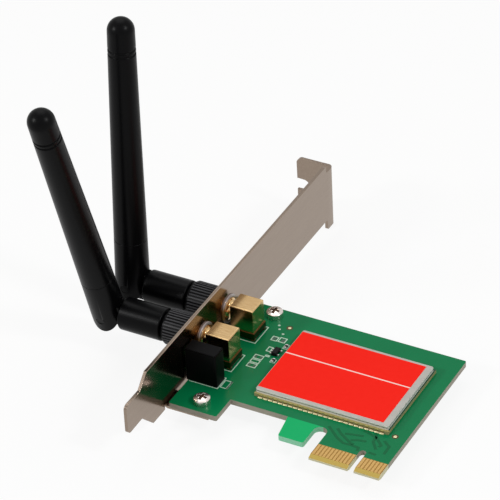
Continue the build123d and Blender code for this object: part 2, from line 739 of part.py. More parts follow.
# Antennas
coupling_left = pin_x + groove_end + seat_gap
coupling_lip = ferrule_end - groove_end - 2 * seat_gap
coupling_length = coupling_right - coupling_left
collar_radius = coupling_radius - coupling_collar_step
spigot_top = knuckle_length + spigot_length
for side, row_y in jack_rows.items():
    hinge = hinge_plane(side)
    base_axis = Axis(hinge.origin, (1, 0, 0))
    whip_axis = Axis(hinge.origin, hinge.y_dir)
    nut_plane = Plane((coupling_left, row_y, jack_z), x_dir=(0, 1, 0), z_dir=(1, 0, 0))

    with BuildPart() as coupling_nut:
        with BuildSketch(nut_plane):
            Circle(collar_radius)
        extrude(amount=coupling_length)
        with BuildSketch(nut_plane.offset(coupling_collar)):
            Circle(coupling_radius - rib_height)
            with PolarLocations(coupling_radius - rib_height, rib_count):
                Rectangle(2 * rib_height, rib_width)
        extrude(amount=coupling_length - 2 * coupling_collar)
        with BuildSketch(nut_plane):
            Circle(ferrule_radius + running_gap)
        extrude(amount=coupling_lip, mode=Mode.SUBTRACT)
        with BuildSketch(nut_plane.offset(coupling_lip)):
            Circle(barrel_radius + running_gap)
        extrude(amount=coupling_length - coupling_lip, mode=Mode.SUBTRACT)
    save(coupling_nut.part, f"{side}_coupling_nut")

    with BuildPart() as antenna_base:
        with BuildSketch(hinge):
            with BuildLine():
                Polyline(
                    (shoulder_to_pin, 0),
                    (shoulder_to_pin, base_radius - base_edge),
                    (shoulder_to_pin + base_edge, base_radius),
                    (base_end - base_rear_edge, base_radius),
                    (base_end, base_radius - base_rear_edge),
                    (base_end, groove_radius),
                    (groove_end, groove_radius),
                    (groove_end, ferrule_radius),
                    (ferrule_end, ferrule_radius),
                    (ferrule_end, flange_radius),
                    (flange_end, flange_radius),
                    (flange_end, nose_radius),
                    (nose_end, nose_radius),
                    (nose_end, plug_bore_radius),
                    (nose_end - plug_depth, plug_bore_radius),
                    (nose_end - plug_depth, 0),
                    close=True,
                )
            make_face()
        revolve(axis=base_axis)
        with BuildSketch(hinge):
            Circle(tongue_radius)
            with Locations((shoulder_to_pin / 2, 0)):
                Rectangle(shoulder_to_pin, 2 * tongue_radius)
        extrude(amount=tongue_thickness / 2, both=True)
        with BuildSketch(hinge):
            Circle(hinge_pin_radius + seat_gap)
        extrude(amount=tongue_thickness, both=True, mode=Mode.SUBTRACT)
    save(antenna_base.part, f"{side}_antenna_base")

    with BuildPart() as plug_insulator:
        with BuildSketch(hinge):
            with BuildLine():
                Polyline(
                    (nose_end - plug_depth, plug_contact_radius + seat_gap),
                    (nose_end, plug_contact_radius + seat_gap),
                    (nose_end, plug_bore_radius - seat_gap),
                    (nose_end - plug_depth, plug_bore_radius - seat_gap),
                    close=True,
                )
            make_face()
        revolve(axis=base_axis)
    save(plug_insulator.part, f"{side}_plug_insulator")

    with BuildPart() as plug_contact:
        with BuildSketch(hinge):
            with BuildLine():
                Polyline(
                    (nose_end - plug_depth, 0),
                    (nose_end - plug_depth, plug_contact_radius),
                    (nose_end, plug_contact_radius),
                    (nose_end, jack_pin_radius + running_gap),
                    (nose_end - plug_socket_depth, jack_pin_radius + running_gap),
                    (nose_end - plug_socket_depth, 0),
                    close=True,
                )
            make_face()
        revolve(axis=base_axis)
    save(plug_contact.part, f"{side}_plug_contact")

    with BuildPart() as hinge_pin:
        with BuildSketch(hinge):
            Circle(hinge_pin_radius)
        extrude(amount=hinge_pin_length / 2, both=True)
    save(hinge_pin.part, f"{side}_hinge_pin")

    with BuildPart() as knuckle:
        with BuildSketch(hinge):
            with BuildLine():
                Polyline(
                    (0, -knuckle_radius),
                    (knuckle_radius, -knuckle_radius),
                    (knuckle_radius, 0),
                    (sheath_radius(knuckle_length), knuckle_length),
                    (spigot_radius, knuckle_length),
                    (spigot_radius, spigot_top),
                    (0, spigot_top),
                    close=True,
                )
            make_face()
        revolve(axis=whip_axis)
        with BuildSketch(hinge):
            Circle(knuckle_end_radius)
            with BuildLine():
                Polyline(
                    (-knuckle_end_radius, 0),
                    (knuckle_end_radius, 0),
                    (knuckle_radius, knuckle_flare),
                    (knuckle_radius, spigot_top),
                    (-knuckle_radius, spigot_top),
                    (-knuckle_radius, knuckle_flare),
                    close=True,
                )
            make_face()
        extrude(amount=2 * knuckle_radius, both=True, mode=Mode.INTERSECT)
        with BuildSketch(hinge):
            with Locations((0, (slot_above_pin - 2 * knuckle_radius) / 2)):
                Rectangle(4 * knuckle_radius, slot_above_pin + 2 * knuckle_radius)
        extrude(amount=slot_gap / 2, both=True, mode=Mode.SUBTRACT)
        with BuildSketch(hinge):
            Circle(hinge_pin_radius + seat_gap)
        extrude(amount=2 * knuckle_radius, both=True, mode=Mode.SUBTRACT)
    save(knuckle.part, f"{side}_antenna_knuckle")

    with BuildPart() as sheath:
        with BuildSketch(hinge):
            with BuildLine():
                Polyline(
                    (spigot_radius + seat_gap, knuckle_length),
                    (sheath_radius(knuckle_length), knuckle_length),
                    (tip_radius, tip_height),
                )
                RadiusArc((tip_radius, tip_height), (0, tip_height + tip_radius), -tip_radius)
                Polyline(
                    (0, tip_height + tip_radius),
                    (0, sheath_bore_end),
                    (sheath_bore_radius, sheath_bore_end),
                    (sheath_bore_radius, spigot_top + seat_gap),
                    (spigot_radius + seat_gap, spigot_top + seat_gap),
                    (spigot_radius + seat_gap, knuckle_length),
                )
            make_face()
            with Locations(*[(sheath_radius(height), height) for height in ring_heights]):
                Rectangle(2 * ring_depth, ring_width, mode=Mode.SUBTRACT)
        revolve(axis=whip_axis)
    save(sheath.part, f"{side}_antenna_sheath")

    with BuildPart() as radiator:
        with BuildSketch(hinge):
            with BuildLine():
                Polyline(
                    (0, spigot_top),
                    (sleeve_radius, spigot_top),
                    (sleeve_radius, spigot_top + sleeve_length),
                    (rod_radius, spigot_top + sleeve_length),
                    (rod_radius, sheath_bore_end - rod_end_gap),
                    (0, sheath_bore_end - rod_end_gap),
                    close=True,
                )
            make_face()
        revolve(axis=whip_axis)
    save(radiator.part, f"{side}_radiator")
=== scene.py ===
from math import hypot, radians

import bpy
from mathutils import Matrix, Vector


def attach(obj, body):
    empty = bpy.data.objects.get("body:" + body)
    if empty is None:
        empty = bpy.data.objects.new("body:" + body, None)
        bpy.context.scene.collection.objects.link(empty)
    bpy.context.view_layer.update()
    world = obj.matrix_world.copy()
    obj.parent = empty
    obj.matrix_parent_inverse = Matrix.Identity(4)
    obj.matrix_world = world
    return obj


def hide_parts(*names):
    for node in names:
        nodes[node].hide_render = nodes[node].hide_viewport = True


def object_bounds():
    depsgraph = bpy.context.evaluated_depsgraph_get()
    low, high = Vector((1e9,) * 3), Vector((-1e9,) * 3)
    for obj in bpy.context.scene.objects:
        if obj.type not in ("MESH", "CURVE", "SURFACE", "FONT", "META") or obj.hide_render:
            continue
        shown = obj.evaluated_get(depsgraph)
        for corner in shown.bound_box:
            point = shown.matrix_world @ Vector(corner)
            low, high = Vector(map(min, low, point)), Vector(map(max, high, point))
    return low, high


# Plug-in wireless card with a folded bracket, two right-angle jacks and two hinged rod antennas
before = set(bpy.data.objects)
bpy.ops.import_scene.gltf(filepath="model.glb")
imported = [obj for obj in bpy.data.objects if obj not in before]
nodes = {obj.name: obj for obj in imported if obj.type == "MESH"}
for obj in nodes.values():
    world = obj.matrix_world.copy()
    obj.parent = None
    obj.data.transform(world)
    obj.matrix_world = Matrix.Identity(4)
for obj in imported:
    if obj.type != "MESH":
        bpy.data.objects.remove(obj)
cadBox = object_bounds()
mm = 0.001
smoothUpTo = radians(35)  # faces that meet at less are shaded as one
mergeWithin = 0.0005 * mm
middle = (cadBox[0] + cadBox[1]) / 2
print("frame loaded:", len(nodes), "nodes")

# Camera
viewpoint = {
    "place": (316.705, -604.245, 563.438),  # mm from the key notch
    "turn": (54.1886, 2.4031, 27.8553),  # degrees about X, Y, Z
    "field": 8.387,  # degrees across the square picture
}
bpy.ops.object.camera_add(
    location=[value * mm for value in viewpoint["place"]],
    rotation=[radians(value) for value in viewpoint["turn"]],
)
camera = bpy.context.object
camera.data.angle = radians(viewpoint["field"])
bpy.context.scene.camera = camera
bpy.context.scene.view_settings.view_transform = "Standard"
print("camera set")


def hexColour(code):
    # sRGB hex to the linear colour that a socket takes
    shares = [int(code[i:i + 2], 16) / 255 for i in (1, 3, 5)]
    linear = [c / 12.92 if c <= 0.04045 else ((c + 0.055) / 1.055) ** 2.4 for c in shares]
    return (*linear, 1.0)


def addNode(tree, kind, settings={}, links={}):
    # A key that names or numbers an input sets that input, any other key sets the node itself
    node = tree.nodes.new(kind)
    for key, value in settings.items():
        if isinstance(key, int) or key in node.inputs:
            node.inputs[key].default_value = value
        else:
            setattr(node, key, value)
    for key, socket in links.items():
        tree.links.new(socket, node.inputs[key])
    return node


def newMaterial(name):
    material = bpy.data.materials.new(name)
    material.use_nodes = True
    tree = material.node_tree
    tree.nodes.clear()
    return material, tree, addNode(tree, "ShaderNodeTexCoord")


def seenRays(tree):
    # 1 for rays that look at the background straight, in a mirror or through glass
    path = addNode(tree, "ShaderNodeLightPath")
    mirror = addNode(tree, "ShaderNodeMath", {"operation": "MAXIMUM"}, {
        0: path.outputs["Is Camera Ray"], 1: path.outputs["Is Glossy Ray"]})
    return addNode(tree, "ShaderNodeMath", {"operation": "MAXIMUM"}, {
        0: mirror.outputs[0], 1: path.outputs["Is Transmission Ray"]}).outputs[0]


# White sweep: floor and surroundings read as white paper, the floor keeps a soft shadow
studio = {
    "floorSize": 6000,
    "paper": "#f4f4f3",
    "floorGlow": 0.88,  # share of plain white in what the camera and the mirrors see of the floor
    "whiteLevel": 1.0,
    "surroundings": 0.45,  # what lights the object from all round
    "softboxes": {
        "leftSoftbox": {"toward": (-0.56, -0.65, 0.47), "distance": 700, "side": 110, "watts": 1.6},
        "rightSoftbox": {"toward": (0.74, -0.08, 0.65), "distance": 700, "side": 110, "watts": 1.6},
        "topSoftbox": {"toward": (-0.25, 0.35, 0.9), "distance": 900, "side": 700, "watts": 2.2},
    },
}
bpy.ops.object.select_all(action="DESELECT")
bpy.ops.mesh.primitive_plane_add(size=studio["floorSize"] * mm, location=(middle.x, middle.y, cadBox[0].z))
floor = bpy.context.object
floor.name = "paperFloor"
paper, tree, _ = newMaterial("mattPaper")
matt = addNode(tree, "ShaderNodeBsdfDiffuse", {"Color": hexColour(studio["paper"])})
glowShare = addNode(tree, "ShaderNodeMath", {"operation": "MULTIPLY", 1: studio["floorGlow"]}, {0: seenRays(tree)})
glow = addNode(tree, "ShaderNodeEmission", {"Strength": studio["whiteLevel"]})
both = addNode(tree, "ShaderNodeMixShader", {}, {0: glowShare.outputs[0], 1: matt.outputs[0], 2: glow.outputs[0]})
addNode(tree, "ShaderNodeOutputMaterial", {}, {"Surface": both.outputs[0]})
floor.data.materials.append(paper)

world = bpy.data.worlds.new("whiteStudio")
bpy.context.scene.world = world
world.use_nodes = True
tree = world.node_tree
tree.nodes.clear()
level = addNode(tree, "ShaderNodeMapRange", {"To Min": studio["surroundings"], "To Max": studio["whiteLevel"]}, {
    "Value": seenRays(tree)})
sky = addNode(tree, "ShaderNodeBackground", {}, {"Strength": level.outputs[0]})
addNode(tree, "ShaderNodeOutputWorld", {}, {"Surface": sky.outputs[0]})

for name, box in studio["softboxes"].items():
    toward = Vector(box["toward"]).normalized()
    bpy.ops.object.light_add(
        type="AREA",
        location=middle + toward * box["distance"] * mm,
        rotation=toward.to_track_quat("Z", "Y").to_euler(),
    )
    lamp = bpy.context.object
    lamp.name = name
    lamp.data.size = box["side"] * mm
    lamp.data.energy = box["watts"]
print("studio lit")

# Finishes that are one stuff all over: two tones, a gloss range and a fine relief from one grain
# tones are sRGB, grain is the size of one patch along X, Y and Z and relief its depth, in mm
finishes = {
    # Bright nickel over rolled steel strip: a warm mirror, slightly streaked the way the strip was rolled
    "nickelPlatedSteel": {
        "tones": ("#8c7c6f", "#998a7c"), "metallic": 1.0, "roughness": (0.13, 0.2),
        "grain": (0.5, 9.0, 0.5), "relief": 0.0015,
    },
    # Flash gold over turned and milled brass: warm tan where it mirrors white, tool marks along the jack
    "goldPlatedBrass": {
        "tones": ("#cba46c", "#e5c594"), "metallic": 1.0, "roughness": (0.13, 0.22),
        "grain": (2.0, 0.35, 0.35), "relief": 0.002,
    },
    # Hard gold on the edge contacts: deeper orange gold with rub marks along the insertion direction
    "hardGoldContact": {
        "tones": ("#b2894a", "#c7a465"), "metallic": 0.75, "roughness": (0.25, 0.4),
        "grain": (0.12, 1.5, 0.5), "relief": 0.001,
    },
    # Thin gold wetted by solder on the small lands: pale straw, satin
    "paleGoldPad": {
        "tones": ("#cdbf8c", "#ece2b8"), "metallic": 0.5, "roughness": (0.25, 0.38),
        "grain": (0.3, 0.3, 0.3), "relief": 0.002,
    },
    # Tin on bare pads that were never soldered: oxidised, dark, with the mask's green in it
    "oxidisedTin": {
        "tones": ("#33503f", "#527060"), "metallic": 0.5, "roughness": (0.35, 0.5),
        "grain": (0.2, 0.2, 0.2), "relief": 0.003,
    },
    # Nickel plated machined nuts: cooler and brighter than the strip
    "brightNickel": {
        "tones": ("#a9a29a", "#c9c2ba"), "metallic": 1.0, "roughness": (0.18, 0.28),
        "grain": (0.4, 0.4, 0.4), "relief": 0.0015,
    },
    # Tin and solder: soft grey metal with a crystalline, slightly wavy skin
    "solderTin": {
        "tones": ("#b4b3ae", "#dcdbd6"), "metallic": 1.0, "roughness": (0.25, 0.42),
        "grain": (0.25, 0.25, 0.25), "relief": 0.004,
    },
    # Black nylon: deep black, semi-gloss, the mould's faint spark texture
    "blackNylon": {
        "tones": ("#050506", "#0a0a0b"), "metallic": 0.0, "roughness": (0.3, 0.4), "specular": 0.05,
        "grain": (0.2, 0.2, 0.2), "relief": 0.002,
    },
    # Antenna thermoplastic: near black, satin, a fine mould grain that spreads the lights into soft spots
    "satinThermoplastic": {
        "tones": ("#030304", "#060607"), "metallic": 0.0, "roughness": (0.3, 0.36), "specular": 0.08,
        "grain": (0.22, 0.22, 0.22), "relief": 0.0025,
    },
    # Moulded epoxy of the chips: dark grey, dry and faintly speckled by its silica filler
    "mouldedEpoxy": {
        "tones": ("#0c0a0b", "#171518"), "metallic": 0.0, "roughness": (0.42, 0.55), "specular": 0.12,
        "grain": (0.12, 0.12, 0.12), "relief": 0.003,
    },
    # Turned fluoropolymer: milky white, waxy, with faint lathe rings
    "turnedFluoropolymer": {
        "tones": ("#e2e1db", "#f1f0eb"), "metallic": 0.0, "roughness": (0.4, 0.5), "specular": 0.4,
        "grain": (0.2, 2.0, 2.0), "relief": 0.003,
    },
    # Drawn brass tube and rod: yellow metal with lengthwise drawing lines
    "drawnBrass": {
        "tones": ("#a8803a", "#c79d52"), "metallic": 1.0, "roughness": (0.22, 0.34),
        "grain": (0.2, 0.2, 4.0), "relief": 0.002,
    },
    # Seam-welded lid of the crystal: pale grey brushed metal
    "brushedKovar": {
        "tones": ("#a9a8a4", "#c2c1bc"), "metallic": 1.0, "roughness": (0.28, 0.4),
        "grain": (2.0, 0.08, 0.5), "relief": 0.002,
    },
    # Tinted lamp resin: clear green, smooth from the mould, with a faint haze
    "tintedLampResin": {
        "tones": ("#5fc07a", "#8fd9a1"), "metallic": 0.0, "roughness": (0.08, 0.16), "transmission": 0.7,
        "grain": (1.2, 1.2, 1.2), "relief": 0.001,
    },
    # Screen-printed ink: chalky greenish white, thin enough to let the mask tint it
    "screenInk": {
        "tones": ("#a8cfb6", "#dcefe0"), "metallic": 0.0, "roughness": (0.5, 0.65), "specular": 0.3,
        "grain": (0.3, 0.3, 0.3), "relief": 0.002,
    },
    # Copper tracks under the mask: the same green skin, darker and slightly raised
    "maskedCopper": {
        "tones": ("#015f36", "#02683c"), "metallic": 0.0, "roughness": (0.18, 0.26), "specular": 0.12,
        "grain": (0.8, 0.8, 0.8), "relief": 0.001,
    },
    # Bare laminate in the clearing round an alignment mark: brown, dull, resin over glass
    "bareLaminate": {
        "tones": ("#3c2e14", "#54421f"), "metallic": 0.0, "roughness": (0.5, 0.6), "specular": 0.3,
        "grain": (0.15, 0.15, 0.15), "relief": 0.002,
    },
}


def dress(tree, colour, pattern, finish, dullness=None):
    # Roughness and relief follow the pattern that breaks up the colour, unless the dullness has its own share
    low, high = finish["roughness"]
    settings = {
        "Metallic": finish.get("metallic", 0.0),
        "Specular IOR Level": finish.get("specular", 0.5),
        "Transmission Weight": finish.get("transmission", 0.0),
        "Roughness": low,
    }
    bump = addNode(tree, "ShaderNodeBump", {
        "Strength": finish.get("bump", 0.6), "Distance": finish["relief"] * mm}, {"Height": pattern})
    links = {"Base Color": colour, "Normal": bump.outputs[0]}
    if high > low:
        gloss = addNode(tree, "ShaderNodeMapRange", {"To Min": low, "To Max": high}, {
            "Value": pattern if dullness is None else dullness})
        links["Roughness"] = gloss.outputs[0]
    shader = addNode(tree, "ShaderNodeBsdfPrincipled", settings, links)
    addNode(tree, "ShaderNodeOutputMaterial", {}, {"Surface": shader.outputs["BSDF"]})


def grainFinish(name, finish):
    material, tree, place = newMaterial(name)
    patch = addNode(tree, "ShaderNodeMapping", {"Scale": [1 / (size * mm) for size in finish["grain"]]}, {
        "Vector": place.outputs["Object"]})
    grain = addNode(tree, "ShaderNodeTexNoise", {"Scale": 1.0, "Detail": 3.0, "Roughness": 0.55}, {
        "Vector": patch.outputs[0]})
    tone = addNode(tree, "ShaderNodeMix", {
        "data_type": "RGBA", 6: hexColour(finish["tones"][0]), 7: hexColour(finish["tones"][1])}, {
        0: grain.outputs["Fac"]})
    dress(tree, tone.outputs[2], grain.outputs["Fac"], finish)
    return material


def maskedLaminate():
    # Glass-epoxy laminate under green solder mask: a glossy green skin with a little orange peel, straw-coloured
    # laminate where the contacts are bare, brighter green on the hook where no copper lies below
    finish = {
        "mask": ("#027444", "#057c4b"), "hook": "#02b066", "bare": ("#9c7436", "#b18845"),
        "edge": ("#837d6f", "#b3ad9f"), "hookEdge": "#8fd0ac", "bevel": "#c3a857", "bareEdge": "#cdc8a6",
        "cloud": 7.0, "peel": 0.5, "weave": 0.35, "layers": (4.0, 4.0, 0.18), "sideBelow": 0.4,
        "bareTo": 5.75, "bevelTo": 1.3, "hookTo": 12.45, "hookFrom": -30.0, "edgeFrom": -14.0,
        "roughness": (0.2, 0.55), "specular": 0.12, "relief": 0.004, "bump": 0.35,
    }
    material, tree, place = newMaterial("greenMaskedLaminate")
    spot = addNode(tree, "ShaderNodeSeparateXYZ", {}, {0: place.outputs["Object"]})
    facing = addNode(tree, "ShaderNodeSeparateXYZ", {}, {0: place.outputs["Normal"]})
    flat = addNode(tree, "ShaderNodeMath", {"operation": "ABSOLUTE"}, {0: facing.outputs[2]})
    cloud = addNode(tree, "ShaderNodeTexNoise", {"Scale": 1 / (finish["cloud"] * mm), "Detail": 2.0}, {
        "Vector": place.outputs["Object"]})
    weave = addNode(tree, "ShaderNodeTexNoise", {"Scale": 1 / (finish["weave"] * mm), "Detail": 2.0}, {
        "Vector": place.outputs["Object"]})
    flatPatch = addNode(tree, "ShaderNodeMapping", {"Scale": [1 / (size * mm) for size in finish["layers"]]}, {
        "Vector": place.outputs["Object"]})
    layers = addNode(tree, "ShaderNodeTexNoise", {"Scale": 1.0, "Detail": 2.0}, {"Vector": flatPatch.outputs[0]})
    colours = {}
    for part, pattern in (("mask", cloud), ("bare", weave), ("edge", layers)):
        low, high = finish[part]
        colours[part] = addNode(tree, "ShaderNodeMix", {
            "data_type": "RGBA", 6: hexColour(low), 7: hexColour(high)}, {0: pattern.outputs["Fac"]}).outputs[2]
    # Shares of the face: 1 on each side of a line across the board, then where two of them meet
    shares = {}
    for part, axis, operation, line in (
        ("nearFront", 1, "LESS_THAN", "hookTo"), ("pastGap", 0, "GREATER_THAN", "hookFrom"),
        ("beforeEdge", 0, "LESS_THAN", "edgeFrom"), ("pastEdge", 0, "GREATER_THAN", "edgeFrom"),
        ("inBare", 1, "LESS_THAN", "bareTo"), ("inBevel", 1, "LESS_THAN", "bevelTo"),
    ):
        shares[part] = addNode(tree, "ShaderNodeMath", {"operation": operation, 1: finish[line] * mm}, {
            0: spot.outputs[axis]}).outputs[0]
    for part, first, second in (
        ("hookBand", "nearFront", "pastGap"), ("hook", "hookBand", "beforeEdge"),
        ("contacts", "inBare", "pastEdge"), ("bevel", "contacts", "inBevel"),
    ):
        shares[part] = addNode(tree, "ShaderNodeMath", {"operation": "MULTIPLY"}, {
            0: shares[first], 1: shares[second]}).outputs[0]
    onSide = addNode(tree, "ShaderNodeMath", {"operation": "LESS_THAN", 1: finish["sideBelow"]}, {0: flat.outputs[0]})
    hooked = addNode(tree, "ShaderNodeMix", {"data_type": "RGBA", 7: hexColour(finish["hook"])}, {
        0: shares["hook"], 6: colours["mask"]})
    bared = addNode(tree, "ShaderNodeMix", {"data_type": "RGBA"}, {
        0: shares["contacts"], 6: hooked.outputs[2], 7: colours["bare"]})
    tapered = addNode(tree, "ShaderNodeMix", {"data_type": "RGBA", 7: hexColour(finish["bevel"])}, {
        0: shares["bevel"], 6: bared.outputs[2]})
    hookSide = addNode(tree, "ShaderNodeMix", {"data_type": "RGBA", 7: hexColour(finish["hookEdge"])}, {
        0: shares["hook"], 6: colours["edge"]})
    sawn = addNode(tree, "ShaderNodeMix", {"data_type": "RGBA", 7: hexColour(finish["bareEdge"])}, {
        0: shares["contacts"], 6: hookSide.outputs[2]})
    skin = addNode(tree, "ShaderNodeMix", {"data_type": "RGBA"}, {
        0: onSide.outputs[0], 6: tapered.outputs[2], 7: sawn.outputs[2]})
    dull = addNode(tree, "ShaderNodeMath", {"operation": "MAXIMUM"}, {0: onSide.outputs[0], 1: shares["contacts"]})
    peel = addNode(tree, "ShaderNodeTexNoise", {"Scale": 1 / (finish["peel"] * mm), "Detail": 1.0}, {
        "Vector": place.outputs["Object"]})
    dress(tree, skin.outputs[2], peel.outputs["Fac"], finish, dull.outputs[0])
    return material


def moduleLaminate():
    # Thin laminate of the radio module: dark green faces with straw lands along the front, brown-gold routed edge
    finish = {
        "face": ("#0a3a26", "#114a31"), "edge": ("#857f55", "#b5ab7d"), "lands": "#a3965a", "landsTo": 17.3,
        "layers": (2.0, 2.0, 0.22), "cloud": 3.0, "sideBelow": 0.4,
        "roughness": (0.45, 0.45), "specular": 0.3, "relief": 0.01, "bump": 0.4,
    }
    material, tree, place = newMaterial("moduleLaminate")
    spot = addNode(tree, "ShaderNodeSeparateXYZ", {}, {0: place.outputs["Object"]})
    facing = addNode(tree, "ShaderNodeSeparateXYZ", {}, {0: place.outputs["Normal"]})
    flat = addNode(tree, "ShaderNodeMath", {"operation": "ABSOLUTE"}, {0: facing.outputs[2]})
    cloud = addNode(tree, "ShaderNodeTexNoise", {"Scale": 1 / (finish["cloud"] * mm)}, {
        "Vector": place.outputs["Object"]})
    flatPatch = addNode(tree, "ShaderNodeMapping", {"Scale": [1 / (size * mm) for size in finish["layers"]]}, {
        "Vector": place.outputs["Object"]})
    layers = addNode(tree, "ShaderNodeTexNoise", {"Scale": 1.0, "Detail": 1.0}, {"Vector": flatPatch.outputs[0]})
    face = addNode(tree, "ShaderNodeMix", {
        "data_type": "RGBA", 6: hexColour(finish["face"][0]), 7: hexColour(finish["face"][1])}, {
        0: cloud.outputs["Fac"]})
    edge = addNode(tree, "ShaderNodeMix", {
        "data_type": "RGBA", 6: hexColour(finish["edge"][0]), 7: hexColour(finish["edge"][1])}, {
        0: layers.outputs["Fac"]})
    onLands = addNode(tree, "ShaderNodeMath", {"operation": "LESS_THAN", 1: finish["landsTo"] * mm}, {
        0: spot.outputs[1]})
    onSide = addNode(tree, "ShaderNodeMath", {"operation": "LESS_THAN", 1: finish["sideBelow"]}, {0: flat.outputs[0]})
    landed = addNode(tree, "ShaderNodeMix", {"data_type": "RGBA", 7: hexColour(finish["lands"])}, {
        0: onLands.outputs[0], 6: face.outputs[2]})
    skin = addNode(tree, "ShaderNodeMix", {"data_type": "RGBA"}, {
        0: onSide.outputs[0], 6: landed.outputs[2], 7: edge.outputs[2]})
    dress(tree, skin.outputs[2], layers.outputs["Fac"], finish)
    return material


def tinPlatedShield():
    # Tin plate drawn into a shallow can: silver-grey, brushed along its length, a painted highlight lighting its
    # upright walls, and painted shade darkening the seam round the lid
    finish = {
        "tones": ("#a29f98", "#c0bdb6"), "wallPaintedLight": "#e9e7e1", "wallBelow": 0.5,
        "seamShade": "#3f3d39", "seamFrom": 2.34, "seamTo": 2.52, "brush": (5.0, 0.12, 0.12), "rub": 4.0,
        "metallic": 0.25, "roughness": (0.38, 0.52), "relief": 0.002, "bump": 0.5,
    }
    material, tree, place = newMaterial("tinPlatedShield")
    patch = addNode(tree, "ShaderNodeMapping", {"Scale": [1 / (size * mm) for size in finish["brush"]]}, {
        "Vector": place.outputs["Object"]})
    brush = addNode(tree, "ShaderNodeTexNoise", {"Scale": 1.0, "Detail": 2.0}, {"Vector": patch.outputs[0]})
    rub = addNode(tree, "ShaderNodeTexNoise", {"Scale": 1 / (finish["rub"] * mm), "Detail": 2.0}, {
        "Vector": place.outputs["Object"]})
    tone = addNode(tree, "ShaderNodeMix", {
        "data_type": "RGBA", 6: hexColour(finish["tones"][0]), 7: hexColour(finish["tones"][1])}, {
        0: rub.outputs["Fac"]})
    spot = addNode(tree, "ShaderNodeSeparateXYZ", {}, {0: place.outputs["Object"]})
    facing = addNode(tree, "ShaderNodeSeparateXYZ", {}, {0: place.outputs["Normal"]})
    # painted highlight: the upright walls take the lighter wall tone
    upright = addNode(tree, "ShaderNodeMath", {"operation": "LESS_THAN", 1: finish["wallBelow"]}, {
        0: facing.outputs[2]})
    # painted shade: the band round the lid seam takes the dark seam tone
    overSeam = addNode(tree, "ShaderNodeMath", {"operation": "GREATER_THAN", 1: finish["seamFrom"] * mm}, {
        0: spot.outputs[2]})
    underLid = addNode(tree, "ShaderNodeMath", {"operation": "LESS_THAN", 1: finish["seamTo"] * mm}, {
        0: spot.outputs[2]})
    inSeam = addNode(tree, "ShaderNodeMath", {"operation": "MULTIPLY"}, {
        0: overSeam.outputs[0], 1: underLid.outputs[0]})
    paintedWallLit = addNode(tree, "ShaderNodeMix", {"data_type": "RGBA", 7: hexColour(finish["wallPaintedLight"])}, {
        0: upright.outputs[0], 6: tone.outputs[2]})
    skin = addNode(tree, "ShaderNodeMix", {"data_type": "RGBA", 7: hexColour(finish["seamShade"])}, {
        0: inSeam.outputs[0], 6: paintedWallLit.outputs[2]})
    dress(tree, skin.outputs[2], brush.outputs["Fac"], finish)
    return material


def printedRedFilm():
    # Red printed polyester film: flat bright red ink, one white rule, white cut edge, slight press mottle
    finish = {
        "red": ("#fb1f12", "#ff271a"), "rule": "#fadcd3", "ruleAt": 34.4, "ruleWidth": 0.42, "mottle": 1.5,
        "cutBelow": 0.5, "roughness": (0.42, 0.42), "specular": 0.05, "relief": 0.004, "bump": 0.3,
    }
    material, tree, place = newMaterial("printedRedFilm")
    spot = addNode(tree, "ShaderNodeSeparateXYZ", {}, {0: place.outputs["Object"]})
    facing = addNode(tree, "ShaderNodeSeparateXYZ", {}, {0: place.outputs["Normal"]})
    mottle = addNode(tree, "ShaderNodeTexNoise", {"Scale": 1 / (finish["mottle"] * mm), "Detail": 3.0}, {
        "Vector": place.outputs["Object"]})
    red = addNode(tree, "ShaderNodeMix", {
        "data_type": "RGBA", 6: hexColour(finish["red"][0]), 7: hexColour(finish["red"][1])}, {
        0: mottle.outputs["Fac"]})
    onRule = addNode(tree, "ShaderNodeMath", {
        "operation": "COMPARE", 1: finish["ruleAt"] * mm, 2: finish["ruleWidth"] / 2 * mm}, {0: spot.outputs[1]})
    cut = addNode(tree, "ShaderNodeMath", {"operation": "LESS_THAN", 1: finish["cutBelow"]}, {0: facing.outputs[2]})
    bare = addNode(tree, "ShaderNodeMath", {"operation": "MAXIMUM"}, {0: onRule.outputs[0], 1: cut.outputs[0]})
    skin = addNode(tree, "ShaderNodeMix", {"data_type": "RGBA", 7: hexColour(finish["rule"])}, {
        0: bare.outputs[0], 6: red.outputs[2]})
    dress(tree, skin.outputs[2], mottle.outputs["Fac"], finish)
    return material


def ribbedThermoplastic():
    # The antenna's plastic on the ribbed nut: painted shade blackens the grooves and a painted highlight greys the
    # ribs
    finish = {
        "grooveShade": "#020203", "ribHighlight": "#454547", "grain": 0.22,
        "roughness": (0.26, 0.36), "specular": 0.1, "relief": 0.002, "bump": 0.5,
    }
    material, tree, place = newMaterial("ribbedThermoplastic")
    paintedLightMask = addNode(tree, "ShaderNodeAttribute", {"attribute_name": "ribLightShare"})
    # painted light: the rib tone is a painted highlight, the groove tone painted shade
    tone = addNode(tree, "ShaderNodeMix", {
        "data_type": "RGBA", 6: hexColour(finish["grooveShade"]), 7: hexColour(finish["ribHighlight"])}, {
        0: paintedLightMask.outputs["Fac"]})
    grain = addNode(tree, "ShaderNodeTexNoise", {"Scale": 1 / (finish["grain"] * mm)}, {
        "Vector": place.outputs["Object"]})
    dress(tree, tone.outputs[2], grain.outputs["Fac"], finish)
    return material


